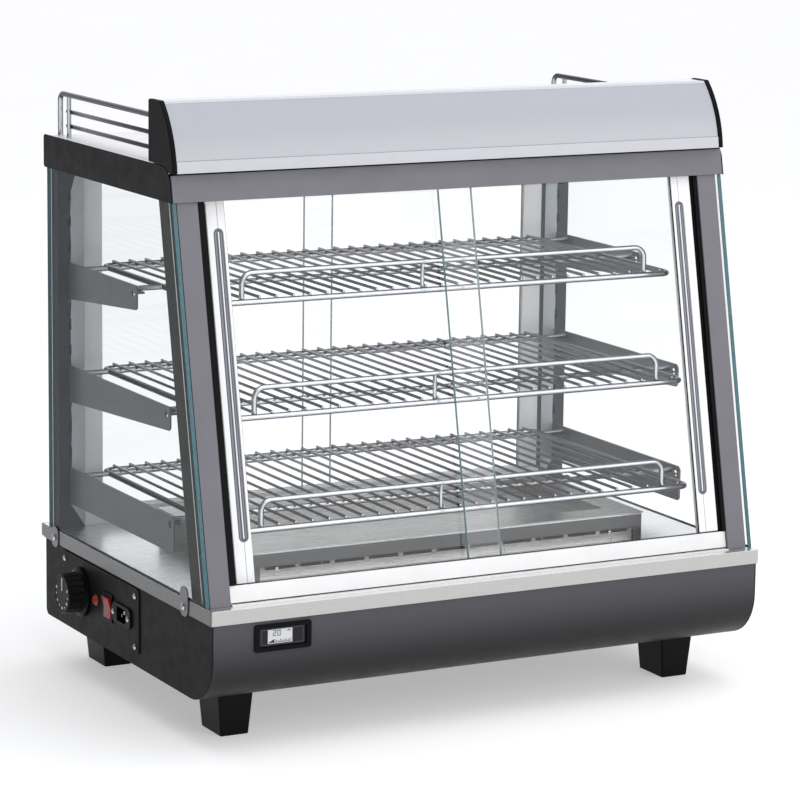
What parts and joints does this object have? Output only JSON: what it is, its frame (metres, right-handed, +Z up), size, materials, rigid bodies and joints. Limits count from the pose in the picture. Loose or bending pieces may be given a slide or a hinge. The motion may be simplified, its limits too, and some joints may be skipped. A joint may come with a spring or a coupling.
{
  "type": "heated food display case",
  "caption": "Countertop heated display case with a slanted sliding glass front, sliding glass back, wire shelves, a lit canopy and a dark base with a dial, switch and lamp.",
  "frame": {"origin": "on the counter, midway between the sides and between the front and back of the stainless rim", "axes": "+X to the right of a person facing the front, +Y from front to back, +Z up"},
  "size_m": [0.7053, 0.4642, 0.675],
  "materials": {
    "dark_paint": "satin powder coat, slightly textured",
    "rear_paint": "satin powder coat",
    "panel_paint": "matt powder coat",
    "stainless": "brushed stainless sheet",
    "foot_plastic": "moulded, fine grain",
    "zinc": "bright zinc plate",
    "phenolic": "moulded ceramic-filled body",
    "brass": "turned",
    "black_plastic": "moulded, semi matt",
    "lamp_red": "clear coloured lens",
    "rocker_red": "moulded gloss",
    "display": "window over a plain grey display",
    "element_sheath": "heat-darkened tube",
    "post_grey": "satin grey coat",
    "seal_rubber": "extruded",
    "bracket_grey": "grey coat on sheet steel",
    "track_alloy": "satin anodised",
    "door_glass": "clear float glass",
    "handle_alloy": "satin anodised",
    "side_glass": "clear float glass, green-blue edges",
    "roof_paint": "pale grey coat",
    "light_shell": "pale grey coat",
    "diffuser": "opal acrylic",
    "cap_plastic": "moulded",
    "lamp_glass": "opal glass tube",
    "chrome_wire": "bright plated wire"
  },
  "bodies": {
    "cabinet": {"base_wrap": "dark_paint", "base_rear_panel": "rear_paint", "base_side_left": "dark_paint", "base_side_right": "dark_paint", "deck_pan": "stainless", "foot_front_left": "foot_plastic", "foot_front_right": "foot_plastic", "foot_rear_left": "foot_plastic", "foot_rear_right": "foot_plastic", "foot_bolts": "zinc", "control_panel": "panel_paint", "panel_screws": "zinc", "thermostat_body": "phenolic", "indicator_lamp": "lamp_red", "switch_housing": "black_plastic", "mains_inlet": "black_plastic", "thermometer_bezel": "black_plastic", "thermometer_display": "display", "heating_element": "element_sheath", "element_supports": "zinc", "heater_cover": "stainless", "front_post_left": "post_grey", "front_post_right": "post_grey", "jamb_seals": "seal_rubber", "rear_standard_left": "bracket_grey", "rear_standard_right": "bracket_grey", "front_bottom_track": "track_alloy", "front_top_track": "track_alloy", "rear_bottom_track": "track_alloy", "rear_top_track": "track_alloy", "side_glass_left": "side_glass", "side_glass_right": "side_glass", "glass_clips": "zinc", "canopy_side_left": "dark_paint", "canopy_side_right": "dark_paint", "canopy_front_band": "post_grey", "roof_panel": "roof_paint", "light_housing": "light_shell", "light_diffuser": "diffuser", "light_cap_left": "cap_plastic", "light_cap_right": "cap_plastic", "lamp_tube": "lamp_glass", "gallery_left": "chrome_wire", "gallery_right": "chrome_wire", "shelf_brackets": "bracket_grey"},
    "front_door_left": {"front_door_glass_left": "door_glass", "front_door_handle_left": "handle_alloy"},
    "front_door_right": {"front_door_glass_right": "door_glass", "front_door_handle_right": "handle_alloy"},
    "rear_door_left": {"rear_door_glass_left": "door_glass", "rear_door_handle_left": "handle_alloy"},
    "rear_door_right": {"rear_door_glass_right": "door_glass", "rear_door_handle_right": "handle_alloy"},
    "thermostat_dial": {"thermostat_shaft": "brass", "thermostat_knob": "black_plastic"},
    "power_rocker": {"switch_rocker": "rocker_red"},
    "upper_shelf": {"shelf_top": "chrome_wire"},
    "centre_shelf": {"shelf_middle": "chrome_wire"},
    "lower_shelf": {"shelf_bottom": "chrome_wire"},
    "tray": {"water_tray": "stainless"}
  },
  "joints": [
    {"name": "front_left_door_slide", "type": "slide", "parent": "cabinet", "child": "front_door_left", "axis": [1, 0, 0], "range_m": [0, 0.272]},
    {"name": "front_right_door_slide", "type": "slide", "parent": "cabinet", "child": "front_door_right", "axis": [-1, 0, 0], "range_m": [0, 0.275]},
    {"name": "rear_left_door_slide", "type": "slide", "parent": "cabinet", "child": "rear_door_left", "axis": [1, 0, 0], "range_m": [0, 0.275]},
    {"name": "rear_right_door_slide", "type": "slide", "parent": "cabinet", "child": "rear_door_right", "axis": [-1, 0, 0], "range_m": [0, 0.275]},
    {"name": "thermostat_turn", "type": "hinge", "parent": "cabinet", "child": "thermostat_dial", "pos_m": [-0.3385, 0.118, 0.10175], "axis": [1, 0, 0], "range_deg": [0, 300]},
    {"name": "power_rocker_tilt", "type": "hinge", "parent": "cabinet", "child": "power_rocker", "pos_m": [-0.3385, 0.04, 0.10175], "axis": [0, 1, 0], "range_deg": [0, 14]},
    {"name": "upper_shelf_lift", "type": "slide", "parent": "cabinet", "child": "upper_shelf", "axis": [0, 0, 1], "range_m": [0, 0.02]},
    {"name": "centre_shelf_lift", "type": "slide", "parent": "cabinet", "child": "centre_shelf", "axis": [0, 0, 1], "range_m": [0, 0.008]},
    {"name": "lower_shelf_lift", "type": "slide", "parent": "cabinet", "child": "lower_shelf", "axis": [0, 0, 1], "range_m": [0, 0.02]},
    {"name": "water_tray_lift", "type": "slide", "parent": "cabinet", "child": "tray", "axis": [0, 0, 1], "range_m": [0, 0.025]}
  ]
}
